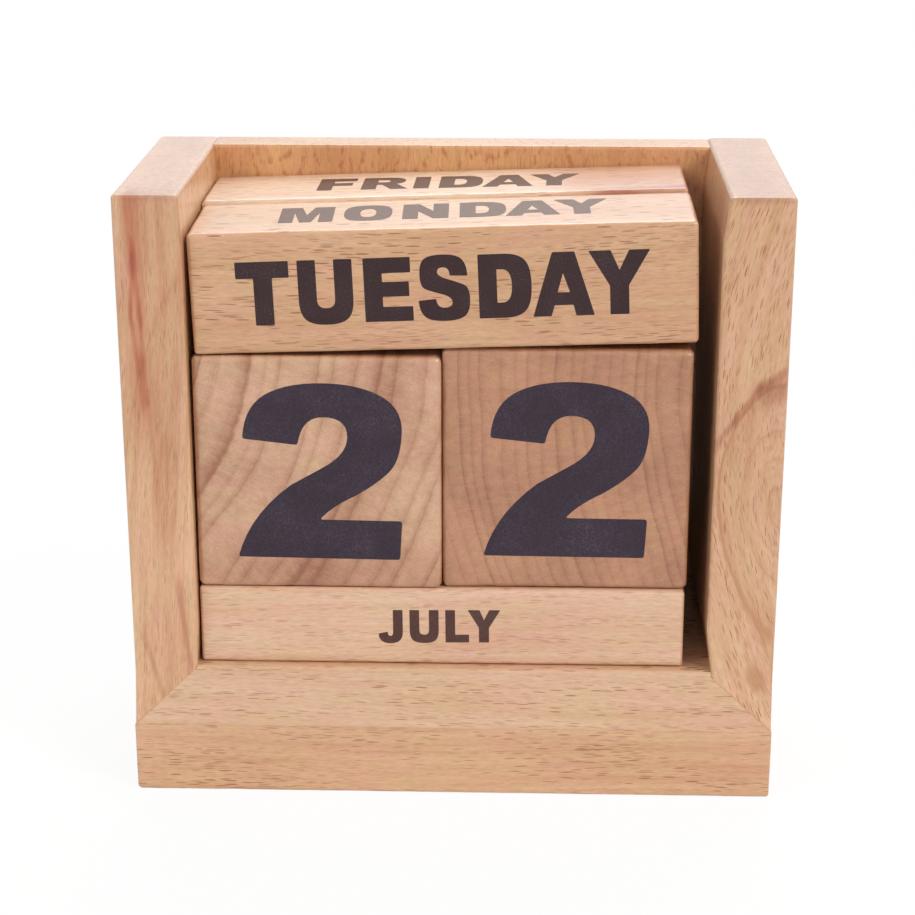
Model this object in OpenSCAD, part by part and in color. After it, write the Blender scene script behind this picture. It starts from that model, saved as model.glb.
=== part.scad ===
// Perpetual desk calendar of solid beech.
// A U of three mitred boards stands on a plinth and is closed by a back panel. Loose blocks lie in
// it: three month bars at the bottom, two number cubes on them and two weekday bars on top.
// Millimetres. +X to the right, the open front faces -Y, +Z up.
// The origin is at the middle of the footprint, on the surface that the plinth stands on.

/* [Boards] */
// Thickness of the left side board
side_t = 12.7; // [12:0.1:18]
// How much thicker the right side board is than the left one
right_extra_t = 0.5; // [0:0.1:2]
// Thickness of the base board between the mitres
base_t = 12.2; // [12:0.1:18]
// Thickness of the plinth board under the base board
plinth_h = 14.1; // [8:0.1:20]
// Thickness of the back panel
back_t = 9.2; // [4:0.1:14]
// Rounding of the boards' edges
board_edge_r = 0.7; // [0.3:0.1:1.5]
// How much taller the right side board was cut than the left one
right_extra_h = 0.3; // [0:0.1:2]
// How far the left board leans outwards at its top
lean_left = 0.4; // [0:0.1:1]
// How far the right board leans outwards at its top
lean_right = 0.5; // [0:0.1:1]

/* [Sanded faces] */
// How far the plinth stands proud of the boards at the front
lip_front = 1.2; // [0.3:0.1:3]
// How far the plinth stands proud of the left board
lip_left = 0.3; // [0.25:0.05:2]
// How far the plinth stands proud of the right board
lip_right = 0.15; // [0.15:0.05:2]
// Step that is left between the flared foot of the boards and the plinth
foot_step = 0.1; // [0.05:0.05:0.15]
// Height over which the boards' outer faces flare out to the plinth
foot_h = 10.4; // [4:0.1:11]
// How much the ends of the left board's inner face are sanded away
ease_left = 0.4; // [0.1:0.1:2]
// How much the ends of the right board's inner face are sanded away
ease_right = 1.1; // [0.1:0.1:2]
// Height over which the sanding runs out, at the top and at the floor
ease_h = 8; // [4:0.5:15]

/* [Room for the blocks] */
// Running clearance between faces that slide past each other
play = 0.1; // [0.05:0.05:0.3]
// Gap between the left board and the blocks that are pushed against it
wall_gap = 0.3; // [0.1:0.05:1]
// Free slot at the right, beside the longest row of blocks
slot_w = 3.2; // [2:0.1:20]
// Gap between the deepest row of blocks and the back panel
back_gap = 0.4; // [0.1:0.1:3]
// How far the left board stands above the level height of the blocks
headroom = 5; // [2.5:0.1:15]

/* [Number cubes] */
// Width of the left cube
left_cube_w = 47.2; // [40:0.1:55]
// Depth of the left cube
left_cube_d = 47.4; // [40:0.1:55]
// Height of the left cube
left_cube_h = 46.5; // [42:0.1:52]
// Width of the right cube
right_cube_w = 47.4; // [40:0.1:55]
// Depth of the right cube
right_cube_d = 47.2; // [40:0.1:55]
// Height of the right cube
right_cube_h = 48.1; // [42:0.1:52]
// How far the left cube stands back from the front of the boards
left_cube_back = 2; // [0.5:0.1:5]
// How far the right cube stands back from the front of the boards
right_cube_back = 3; // [0.5:0.1:5]
// Rounding of the cubes' edges
cube_edge_r = 1.2; // [0.4:0.1:3]

/* [Weekday bars] */
// Length of both bars
weekday_l = 94.8; // [80:0.1:110]
// Depth of each bar
weekday_d = 24.1; // [18:0.1:30]
// Height of the front bar at its front face
front_weekday_h = 23.2; // [18:0.1:30]
// Height of the rear bar at its front face
rear_weekday_h = 24.3; // [18:0.1:30]
// How much taller the front bar is at its back face, because it was sawn a little out of square
front_weekday_skew = 0.5; // [0:0.1:1.5]
// How much taller the rear bar is at its back face
rear_weekday_skew = 0.1; // [0:0.1:1.5]
// How far the front bar stands back from the front of the boards
weekday_back = 2.1; // [0.5:0.1:5]
// How much further left the rear bar lies than the front one
rear_weekday_shift = 0.3; // [0:0.1:1]
// Rounding of the weekday bars' edges
weekday_edge_r = 0.9; // [0.4:0.1:2]

/* [Month bars] */
// Length of the three bars
month_l = 94.3; // [80:0.1:110]
// Depth of each bar
month_d = 16; // [12:0.1:20]
// Height of each bar
month_h = 15.8; // [12:0.1:20]
// How far the front bar stands back from the front of the boards
month_back = 2.2; // [0.5:0.1:5]
// Rounding of the month bars' edges
month_edge_r = 0.7; // [0.3:0.1:2]

/* [Hidden] */

// Straight pieces that one eased corner is made of
edge_steps = 5;
// Overshoot of a cutting body past the face that it cuts
over = 1;

// Heights of the stack of blocks, from the plinth up
floor_z = plinth_h + base_t;
month_z = floor_z + play;
cube_z = month_z + month_h + play;
left_cube_top = cube_z + left_cube_h;
right_cube_top = cube_z + right_cube_h;

// The weekday bars lie across both cubes. The taller cube carries them at its inner top edge and
// the lower one at its outer end, so they lean by the difference in height.
cubes_l = left_cube_w + play + right_cube_w;
cube_rise = right_cube_h - left_cube_h;
rise_run = cube_rise >= 0 ? left_cube_w + play : right_cube_w + play;
weekday_roll = atan(cube_rise / rise_run);
weekday_h = max(front_weekday_h + front_weekday_skew, rear_weekday_h + rear_weekday_skew);
weekday_lean = weekday_h * sin(abs(weekday_roll));
left_h = max(left_cube_top, right_cube_top) + play + weekday_h + headroom;
right_h = left_h + right_extra_h;

// Way from the foot of the left board's inner face to the weekday bars' left ends. The board leans
// out of their way.
rear_weekday_in = play + (weekday_roll > 0 ? weekday_lean : 0)
    - lean_at(left_cube_top, left_h, lean_left);
front_weekday_in = rear_weekday_in + rear_weekday_shift;

// The longest row, the deepest row and the level height of the stack size the room for the blocks
weekday_reach = front_weekday_in + weekday_l * cos(weekday_roll)
    + (weekday_roll < 0 ? weekday_lean : 0);
bay_w = max(wall_gap + month_l, wall_gap + cubes_l, weekday_reach) + slot_w;
bay_d = max(month_back + 3 * month_d + 2 * play, weekday_back + 2 * weekday_d + play,
            left_cube_back + left_cube_d, right_cube_back + right_cube_d) + back_gap;

// Outer and inner faces of the boards. Either the plinth or the top of a leaning board reaches
// furthest to its side.
reach_left = max(lip_left, lean_left);
reach_right = max(lip_right, lean_right);
right_t = side_t + right_extra_t;
overall_w = reach_left + side_t + bay_w + right_t + reach_right;
plinth_w = lip_left + side_t + bay_w + right_t + lip_right;
plinth_d = lip_front + bay_d + back_t;
left_x = -overall_w / 2 + reach_left;
inner_left_x = left_x + side_t;
inner_right_x = inner_left_x + bay_w;
right_x = inner_right_x + right_t;
front_y = -plinth_d / 2 + lip_front;
back_y = plinth_d / 2;

// The boards' outer faces flare out below this height
foot_top = plinth_h + foot_h;
flare_front = lip_front - foot_step;
flare_left = lip_left - foot_step;
flare_right = lip_right - foot_step;

// Left ends of the rows of blocks
row_x = inner_left_x + wall_gap;
right_cube_x = row_x + left_cube_w + play;
// Where the taller cube carries the weekday bars
carry_x = cube_rise >= 0 ? right_cube_x : row_x + left_cube_w;

// A rectangle from low to high with eased corners, counterclockwise
function eased_rect(low, high, r) = [
    for (corner = [[high.x - r, high.y - r, 0], [low.x + r, high.y - r, 90],
                   [low.x + r, low.y + r, 180], [high.x - r, low.y + r, 270]])
        for (step = [0:edge_steps])
            let (a = corner.z + 90 * step / edge_steps)
                [corner.x + r * cos(a), corner.y + r * sin(a)]
];

// A straight block with eased edges, its lowest corner at the origin
module eased_block(size, r) {
    intersection() {
        linear_extrude(size.z)
            polygon(eased_rect([0, 0], [size.x, size.y], r));
        translate([0, size.y, 0])
            rotate([90, 0, 0])
                linear_extrude(size.y)
                    polygon(eased_rect([0, 0], [size.x, size.z], r));
        rotate([90, 0, 90])
            linear_extrude(size.x)
                polygon(eased_rect([0, 0], [size.y, size.z], r));
    }
}

// A solid through a stack of outlines, each given as [height, points]
module stacked(levels) {
    count = len(levels[0][1]);
    last = (len(levels) - 1) * count;
    points = [for (level = levels) for (p = level[1]) [p.x, p.y, level[0]]];
    walls = [
        for (row = [0:count:last - 1])
            for (i = [0:count - 1])
                let (a = row + i, b = row + (i + 1) % count)
                    each [[a, a + count, b + count], [a, b + count, b]]
    ];
    polyhedron(points, concat([[for (i = [0:count - 1]) i]], walls,
                              [[for (i = [count - 1:-1:0]) last + i]]));
}

// A block with eased edges whose back face is taller than its front face, stacked along its length
module skewed_block(size, skew, r) {
    ways_in = [for (s = [0:edge_steps]) r * (1 - cos(90 * s / edge_steps))];
    stations = concat(ways_in, [for (s = [edge_steps:-1:0]) size.x - ways_in[s]]);
    function inset(x) = let (out = max(0, r - x, x - size.x + r)) r - sqrt(pow(r, 2) - pow(out, 2));
    rotate([90, 0, 90])
        stacked([for (x = stations)
            [x, [for (p = eased_rect([inset(x), inset(x)],
                                     [size.y - inset(x), size.z - inset(x)], r))
                [p.x, p.y + (p.y > size.z / 2 ? skew * p.x / size.y : 0)]]]]);
}

// A side board seen from its outer face inwards: u = 0 is the outer face at its foot and u = t the
// inner one. The foot flares out to the plinth, the board leans outwards from the floor up, and
// the inner face is sanded away at both ends.
function lean_at(z, h, lean) = lookup(z, [[floor_z, 0], [h, lean]]);
function outer_u(z, flare) = lookup(z, [[plinth_h, -flare], [foot_top, 0]]);
function front_face_y(z) = lookup(z, [[plinth_h, front_y - flare_front], [foot_top, front_y]]);
function inner_u(z, t, h, ease) = lookup(z, [[floor_z, t - ease], [floor_z + ease_h, t],
                                             [h - ease_h, t], [h, t - ease]]);
// Height of the mitre between a side board and the base board
function mitre_z(u, t, flare) = plinth_h + base_t * (u + flare) / (t + flare);

module side_board(t, h, flare, ease, lean) {
    // The last heights follow the rounding of the top edges
    heights = concat([plinth_h, foot_top, floor_z, floor_z + ease_h, h - ease_h],
                     [for (s = [0:edge_steps]) h - board_edge_r * (1 - sin(90 * s / edge_steps))]);
    function inset(z) = let (up = max(0, z - h + board_edge_r))
        board_edge_r - sqrt(pow(board_edge_r, 2) - pow(up, 2));
    difference() {
        stacked([for (z = heights)
            let (out = lean_at(z, h, lean))
                [z, eased_rect([outer_u(z, flare) - out + inset(z), front_face_y(z) + inset(z)],
                               [inner_u(z, t, h, ease) - out - inset(z), back_y - inset(z)],
                               board_edge_r)]]);
        // The mitre that the base board is glued to
        translate([0, back_y + over, 0])
            rotate([90, 0, 0])
                linear_extrude(plinth_d + 2 * over)
                    polygon([[-flare, plinth_h], [-flare, plinth_h - over],
                             [t + over, plinth_h - over],
                             [t + over, mitre_z(t + over, t, flare)]]);
    }
}

module left_side() {
    color("#c8966e")
        translate([left_x, 0, 0])
            side_board(side_t, left_h, flare_left, ease_left, lean_left);
}

module right_side() {
    color("#d6a67e")
        translate([right_x, 0, 0])
            mirror([1, 0, 0])
                side_board(right_t, right_h, flare_right, ease_right, lean_right);
}

module base_board() {
    left_u = side_t - ease_left;
    right_u = right_t - ease_right;
    color("#d8b092")
        intersection() {
            // Front view: the mitres at both ends, square where the side boards are sanded away
            translate([0, back_y + over, 0])
                rotate([90, 0, 0])
                    linear_extrude(plinth_d + 2 * over)
                        polygon([[left_x - flare_left, plinth_h],
                                 [right_x + flare_right, plinth_h],
                                 [right_x - right_u, mitre_z(right_u, right_t, flare_right)],
                                 [right_x - right_u, floor_z],
                                 [left_x + left_u, floor_z],
                                 [left_x + left_u, mitre_z(left_u, side_t, flare_left)]]);
            // Side view: the flared foot and the eased edge at the front of the floor
            translate([-plinth_w, 0, 0])
                rotate([90, 0, 90])
                    linear_extrude(2 * plinth_w)
                        polygon(concat([[back_y, floor_z], [back_y, plinth_h],
                                        [front_face_y(plinth_h), plinth_h], [front_y, foot_top]],
                                       [for (s = [0:edge_steps])
                                           let (a = 180 - 90 * s / edge_steps)
                                               [front_y + board_edge_r * (1 + cos(a)),
                                                floor_z - board_edge_r * (1 - sin(a))]]));
        }
}

module plinth() {
    color("#d3a785")
        translate([left_x - lip_left, -plinth_d / 2, 0])
            eased_block([plinth_w, plinth_d, plinth_h], board_edge_r);
}

// The back panel stands on the base board between the side boards and follows their inner faces
module back_panel() {
    left_heights = [floor_z, floor_z + ease_h, left_h - ease_h, left_h];
    right_heights = [floor_z, floor_z + ease_h, right_h - ease_h, right_h];
    left_points = [for (z = left_heights)
        [left_x + inner_u(z, side_t, left_h, ease_left) - lean_at(z, left_h, lean_left), z]];
    right_points = [for (z = right_heights)
        [right_x - inner_u(z, right_t, right_h, ease_right) + lean_at(z, right_h, lean_right), z]];
    color("#c8925c")
        intersection() {
            translate([0, back_y, 0])
                rotate([90, 0, 0])
                    linear_extrude(back_t)
                        polygon(concat(left_points, [for (i = [3:-1:0]) right_points[i]]));
            translate([-plinth_w, back_y - back_t, floor_z - over])
                rotate([90, 0, 90])
                    linear_extrude(2 * plinth_w)
                        polygon(eased_rect([0, 0], [back_t, left_h - floor_z + over], board_edge_r));
        }
}

module month_bar(index) {
    color("#e0ba9c")
        translate([row_x, front_y + month_back + index * (month_d + play), month_z])
            eased_block([month_l, month_d, month_h], month_edge_r);
}

module month_bar_front() month_bar(0);
module month_bar_middle() month_bar(1);
module month_bar_rear() month_bar(2);

module number_cube_left() {
    color("#b98a6c")
        translate([row_x, front_y + left_cube_back, cube_z])
            eased_block([left_cube_w, left_cube_d, left_cube_h], cube_edge_r);
}

module number_cube_right() {
    color("#b5846a")
        translate([right_cube_x, front_y + right_cube_back, cube_z])
            eased_block([right_cube_w, right_cube_d, right_cube_h], cube_edge_r);
}

module weekday_bar(index, h, skew, way_in) {
    x = inner_left_x + way_in;
    z = max(left_cube_top, right_cube_top) + play + (x - carry_x) * tan(weekday_roll);
    color("#d7af87")
        translate([x, front_y + weekday_back + index * (weekday_d + play), z])
            rotate([0, -weekday_roll, 0])
                skewed_block([weekday_l, weekday_d, h], skew, weekday_edge_r);
}

module weekday_bar_front()
    weekday_bar(0, front_weekday_h, front_weekday_skew, front_weekday_in);
module weekday_bar_rear()
    weekday_bar(1, rear_weekday_h, rear_weekday_skew, rear_weekday_in);

plinth();
base_board();
left_side();
right_side();
back_panel();
month_bar_front();
month_bar_middle();
month_bar_rear();
number_cube_left();
number_cube_right();
weekday_bar_front();
weekday_bar_rear();
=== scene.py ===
import math
from functools import partial

import bpy
import numpy as np
from mathutils import Matrix, Vector, noise
from mathutils.geometry import tessellate_polygon


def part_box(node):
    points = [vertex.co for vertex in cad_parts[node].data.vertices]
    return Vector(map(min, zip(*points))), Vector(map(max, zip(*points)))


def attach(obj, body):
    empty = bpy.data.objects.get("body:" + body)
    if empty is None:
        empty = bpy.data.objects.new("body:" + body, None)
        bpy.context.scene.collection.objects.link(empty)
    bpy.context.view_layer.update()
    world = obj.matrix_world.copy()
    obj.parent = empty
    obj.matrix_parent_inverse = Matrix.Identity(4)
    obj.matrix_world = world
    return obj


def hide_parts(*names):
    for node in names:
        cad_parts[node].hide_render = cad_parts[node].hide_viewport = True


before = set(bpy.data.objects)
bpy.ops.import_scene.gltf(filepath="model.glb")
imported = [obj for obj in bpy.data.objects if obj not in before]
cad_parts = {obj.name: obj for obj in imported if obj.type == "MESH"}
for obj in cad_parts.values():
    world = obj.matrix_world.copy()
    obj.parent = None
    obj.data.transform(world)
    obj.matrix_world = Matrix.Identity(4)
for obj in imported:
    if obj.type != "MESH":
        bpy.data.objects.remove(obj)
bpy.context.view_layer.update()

MM = 0.001

# ---- sizes, in millimetres

# Boards: where the joints lie and how the faces were sanded
LEFT_T, RIGHT_T = 12.7, 13.2
BASE_T = 12.2
FOOT_H = 10.4
EASE_H = 8.0
LIP_FRONT, LIP_LEFT, LIP_RIGHT = 1.2, 0.3, 0.15
FOOT_STEP = 0.1
FLARE_FRONT, FLARE_LEFT, FLARE_RIGHT = (lip - FOOT_STEP
                                        for lip in (LIP_FRONT, LIP_LEFT, LIP_RIGHT))
EASE_LEFT, EASE_RIGHT = 0.4, 1.1
LEAN_LEFT, LEAN_RIGHT = 0.4, 0.5
BOARD_EDGE_R = 0.7

# Blocks: rounding of their edges, how far the weekday bars lean over the taller cube, their
# length and depth, and how far above the cube they lie
CUBE_EDGE_R = 1.2
WEEKDAY_EDGE_R = 0.9
MONTH_EDGE_R = 0.7
CUBE_RISE = 1.6
CUBE_STEP = 47.3
WEEKDAY_LEAN = math.atan(CUBE_RISE / CUBE_STEP)
WEEKDAY_L, WEEKDAY_D = 94.8, 24.1
WEEKDAY_GAP = 0.1

# Where the plinth meets the base board its edge is sharp
PLINTH_TOP_R = 0.05

# How much the rounding of a block's edges varies, as a share of it
UNEVENNESS = 0.4

# Rows of points over a rounded edge, the spacing of the points on a face, the rows over the
# flared foot with one more above it, and those of the base board's underside
EDGE_ROWS = 8
FACE_STEP = 1.4
FOOT_ROWS = 8
ROW_OVER_FOOT = 0.8
UNDERSIDE_ROWS = 30

# How deep the dents in the edges are at most, about
BOARD_WEAR, MONTH_WEAR, CUBE_WEAR, WEEKDAY_WEAR = 0.12, 0.1, 0.15, 0.12

# A point belongs wholly to an edge when its normal leans this far (1 less its largest part), and
# not at all when its share is under the least one
WHOLE_EDGE, LEAST_SHARE = 0.25, 0.03

# How closely dents and nicks follow each other, where a nick starts and how deep it gets
DENTS, NICKS, NICK_START, NICK_DEPTH = 0.35, 1.1, 0.35, 2.5

# Two faces that meet at more than this angle keep a sharp edge
SHARP_ANGLE = math.radians(40)

# The printed film stands this far out of the wood and reaches this far into it
INK_PROUD = 0.025
INK_DEEP = 0.02


def srgb(code):
    """A colour written as a hex code, turned to linear light."""
    parts = [int(code[i:i + 2], 16) / 255 for i in (1, 3, 5)]
    return [c / 12.92 if c <= 0.04045 else ((c + 0.055) / 1.055) ** 2.4 for c in parts] + [1.0]


def add_node(tree, kind, *values, out=0, **settings):
    """Adds a node and hands back one of its outputs, or with out=None all of them. kind is its
    type, with its operation after a blank. The values, or the outputs that feed it, go to its
    sockets in order, and those in a dict by the sockets' names or numbers."""
    kind, _, operation = kind.partition(" ")
    family = "" if kind.startswith(("GeometryNode", "NodeGroup")) else "ShaderNode"
    node = tree.nodes.new(family + kind)
    if operation:
        node.operation = operation
    for name, value in settings.items():
        setattr(node, name, value)
    for place, given in enumerate(values):
        for key, value in (given if isinstance(given, dict) else {place: given}).items():
            if isinstance(value, bpy.types.NodeSocket):
                tree.links.new(value, node.inputs[key])
            else:
                node.inputs[key].default_value = value
    return node.outputs if out is None else node.outputs[out]


def put(name, data):
    """Puts a mesh, lamp or camera into the scene."""
    thing = bpy.data.objects.new(name, data)
    bpy.context.scene.collection.objects.link(thing)
    return thing


def new_material(name):
    """An empty material, and the function that adds nodes to it."""
    material = bpy.data.materials.new(name)
    material.use_nodes = True
    material.node_tree.nodes.clear()
    return material, partial(add_node, material.node_tree)


def sockets(tree, names, way):
    """Gives a node tree its named sockets, and each input its first value."""
    for name, kind, value in names:
        socket = tree.interface.new_socket(name, in_out=way, socket_type="NodeSocket" + kind)
        if value is not None:
            socket.default_value = value


# ---- wood


def grow_beech():
    """Steamed beech as a solid. The point is given in millimetres in the log: x and y across it
    from the pith, z along it. The rings are fine dark lines, and the rays are sheets that stand on
    them: short dark spindles on a flat-sawn face, pale lace on a quarter-sawn one."""
    tree = bpy.data.node_groups.new("steamed beech", "ShaderNodeTree")
    add = partial(add_node, tree)
    sockets(tree, (
        ("Point", "Vector", None), ("Offset", "Vector", None), ("Log radius", "Float", 120.0),
        ("Ring width", "Float", 5.0), ("Ring depth", "Float", 0.2), ("Wander", "Float", 6.0),
        ("Band radius", "Float", 0.0), ("Band width", "Float", 3.0),
        ("Band depth", "Float", 0.0), ("Streaks", "Float", 0.5),
        ("Mottle", "Float", 0.3), ("Flecks", "Float", 0.6), ("Fleck length", "Float", 1.0),
        ("Fleck depth", "Float", 1.0), ("Ring softness", "Float", 0.0), ("Blotches", "Float", 0.0),
        ("Pale", "Color", None), ("Deep", "Color", None), ("Fleck", "Color", None)), "INPUT")
    sockets(tree, (("Colour", "Color", None), ("Roughness", "Float", None),
                   ("Relief", "Float", None)), "OUTPUT")
    given = add("NodeGroupInput", out=None)
    point, offset = given["Point"], given["Offset"]

    # The trunk wanders a little, so the rings do
    moved = add("VectorMath ADD", point, offset)
    slow = add("VectorMath MULTIPLY", moved, (0.035, 0.035, 0.009))
    wander = add("TexNoise", slow, {"Scale": 1.0, "Detail": 1.0}, out="Color")
    shift = add("VectorMath MULTIPLY_ADD", wander, (1.0, 1.0, 0.0), (-0.5, -0.5, 0.0))
    shift = add("VectorMath SCALE", shift, {"Scale": given["Wander"]})
    grown = add("VectorMath ADD", point, shift)

    # Radius, way round and way along
    cross = add("VectorMath MULTIPLY", grown, (1.0, 1.0, 0.0))
    radius = add("VectorMath LENGTH", cross, out="Value")
    part = add("SeparateXYZ", grown, out=None)
    turn = add("Math ARCTAN2", part[1], part[0])
    arc = add("Math MULTIPLY", turn, given["Log radius"])
    place = add("CombineXYZ", radius, arc, part[2])
    place = add("VectorMath ADD", place, offset)

    # Growth rings: each darkens slowly and ends at a slightly frayed line, sharp or soft
    fine = add("VectorMath MULTIPLY", place, (0.3, 0.55, 0.03))
    fray = add("TexNoise", fine, {"Scale": 1.0, "Detail": 2.0}, out=None)
    years = add("Math MULTIPLY", radius, 0.09)
    uneven = add("TexNoise", {"W": years, "Scale": 1.0, "Detail": 1.0}, noise_dimensions="1D")
    rings = add("Math DIVIDE", radius, given["Ring width"])
    rings = add("Math MULTIPLY_ADD", uneven, 2.2, rings)
    rings = add("Math MULTIPLY_ADD", fray[0], 0.15, rings)
    into = add("Math FRACT", rings)
    year = add("Math FLOOR", rings)
    curves = []
    for stops in (((0.0, 0.15), (0.12, 0.0), (0.55, 0.12), (0.84, 0.38), (0.93, 1.0), (1.0, 0.15)),
                  ((0.0, 0.4), (0.2, 0.05), (0.5, 0.1), (0.75, 0.55), (0.9, 1.0), (1.0, 0.4))):
        curves.append(add("ValToRGB", into))
        curve = curves[-1].node.color_ramp
        curve.interpolation = "EASE"
        while len(curve.elements) < len(stops):
            curve.elements.new(0.5)
        for element, (position, height) in zip(curve.elements, stops):
            element.position = position
            element.color = (height, height, height, 1.0)
    late = add("Mix", given["Ring softness"], {2: curves[0], 3: curves[1]})
    weather = add("TexWhiteNoise", {"W": year}, noise_dimensions="1D")
    weather = add("Math MULTIPLY_ADD", weather, 0.7, 0.3)
    late = add("Math MULTIPLY", late, weather)
    late = add("Math MULTIPLY", late, given["Ring depth"])

    # A band of redder heart wood
    band = add("Math MULTIPLY_ADD", fray[0], 2.0, radius)
    band = add("Math SUBTRACT", band, given["Band radius"])
    band = add("Math DIVIDE", band, given["Band width"])
    band = add("Math ABSOLUTE", band)
    band = add("MapRange", band, 1.0, 0.0, interpolation_type="SMOOTHSTEP")
    late = add("Math MULTIPLY_ADD", band, given["Band depth"], late)

    def draw_out(stretch, detail, *limits, roughness=0.5):
        """Noise that is drawn out along the log: as it is, and spread between limits."""
        drawn = add("VectorMath MULTIPLY", place, stretch)
        drawn = add("TexNoise", drawn, {"Scale": 1.0, "Detail": detail, "Roughness": roughness})
        return drawn, add("MapRange", drawn, *limits)

    # Long streaks and slow clouds of colour
    _, streak = draw_out((0.4, 0.6, 0.02), 4.0, 0.36, 0.66, roughness=0.72)
    streak = add("Math MULTIPLY", streak, given["Streaks"])
    cloudy, cloud = draw_out((0.07, 0.09, 0.02), 3.0, 0.3, 0.7)
    cloud = add("Math MULTIPLY", cloud, given["Mottle"])
    tone = add("Math ADD", late, streak)
    tone = add("Math ADD", tone, cloud, use_clamp=True)
    colour = add("Mix", tone, {6: given["Pale"], 7: given["Deep"]}, data_type="RGBA", out=2)

    # Rays, each about a sixth as thick as it is long, in looser and denser patches
    shrink = add("Math DIVIDE", 1.0, given["Fleck length"])
    bent = add("VectorMath MULTIPLY", fray["Color"], (0.0, 0.9, 0.0))
    packed = add("VectorMath ADD", place, bent)
    deep = add("Math DIVIDE", 1.0, given["Fleck depth"])
    thin = add("CombineXYZ", deep, 3.7, 0.27)
    packed = add("VectorMath MULTIPLY", packed, thin)
    packed = add("VectorMath SCALE", packed, {"Scale": shrink})
    ray = add("TexVoronoi", packed, {"Scale": 1.0}, out=None)
    own = add("SeparateColor", ray["Color"])
    own = add("Math POWER", own, 2.3)
    body = add("MapRange", ray["Distance"], 0.43, 0.29, interpolation_type="SMOOTHSTEP")
    fleck = add("Math MULTIPLY", body, own)
    dense = add("MapRange", cloudy, 0.35, 0.65, 0.85, 1.15)
    fleck = add("Math MULTIPLY", fleck, dense)
    shown = add("Math MULTIPLY", fleck, given["Flecks"], use_clamp=True)
    colour = add("Mix", shown, {6: colour, 7: given["Fleck"]}, data_type="RGBA", out=2)

    # Brown blotches where the rays lie flat in the face
    _, flat = draw_out((0.9, 0.9, 0.4), 2.0, 0.54, 0.68)
    flat = add("Math MULTIPLY", flat, given["Blotches"])
    colour = add("Mix", flat, {6: colour, 7: given["Fleck"]}, data_type="RGBA", out=2)

    # Patches that are a little pinker or yellower
    _, patch = draw_out((0.2, 0.26, 0.07), 2.0, 0.38, 0.62)
    patch = add("Mix", patch, {6: (1.012, 0.97, 1.0, 1.0), 7: (0.988, 1.025, 0.96, 1.0)},
                data_type="RGBA", out=2)
    colour = add("VectorMath MULTIPLY", colour, patch)

    # Fibres and open pores
    fibre, light = draw_out((2.8, 2.8, 0.5), 3.0, 0.33, 0.67, 0.91, 1.09, roughness=0.65)
    colour = add("VectorMath SCALE", colour, {"Scale": light})

    rough = add("Math MULTIPLY_ADD", fibre, 0.16, 0.5)
    relief = add("Math MULTIPLY_ADD", fleck, -0.7, fibre)
    add("NodeGroupOutput", {"Colour": colour, "Roughness": rough, "Relief": relief}, out=None)
    return tree


def grow_tint_streak():
    """A streak of tint: how strong it is at a point, given the ends of the streak's middle line and
    how far it spreads, all in millimetres. It marks darker streaks in the wood, painted shade on the
    rear weekday bar, and greyer tops on the upright boards that partly paint their sheen."""
    tree = bpy.data.node_groups.new("streak of tint", "ShaderNodeTree")
    add = partial(add_node, tree)
    sockets(tree, (("Point", "Vector", None), ("Start", "Vector", None), ("End", "Vector", None),
                   ("Spread", "Vector", None), ("Waver", "Float", 1.5)), "INPUT")
    sockets(tree, (("Amount", "Float", None),), "OUTPUT")
    given = add("NodeGroupInput", out=None)
    slow = add("VectorMath MULTIPLY", given["Point"], (0.35, 0.1, 0.09))
    waver = add("TexNoise", slow, {"Scale": 1.0, "Detail": 3.0}, out="Color")
    waver = add("VectorMath SUBTRACT", waver, (0.5, 0.5, 0.5))
    waver = add("VectorMath SCALE", waver, {"Scale": given["Waver"]})
    point = add("VectorMath ADD", given["Point"], waver)
    point = add("VectorMath SUBTRACT", point, given["Start"])
    line = add("VectorMath SUBTRACT", given["End"], given["Start"])
    whole = add("VectorMath DOT_PRODUCT", line, line, out="Value")
    part = add("VectorMath DOT_PRODUCT", point, line, out="Value")
    part = add("Math DIVIDE", part, whole, use_clamp=True)
    near = add("VectorMath SCALE", line, {"Scale": part})
    off = add("VectorMath SUBTRACT", point, near)
    off = add("VectorMath DIVIDE", off, given["Spread"])
    off = add("VectorMath LENGTH", off, out="Value")
    amount = add("MapRange", off, 1.0, 0.1, interpolation_type="SMOOTHSTEP")
    add("NodeGroupOutput", {"Amount": amount}, out=None)
    return tree


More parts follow.
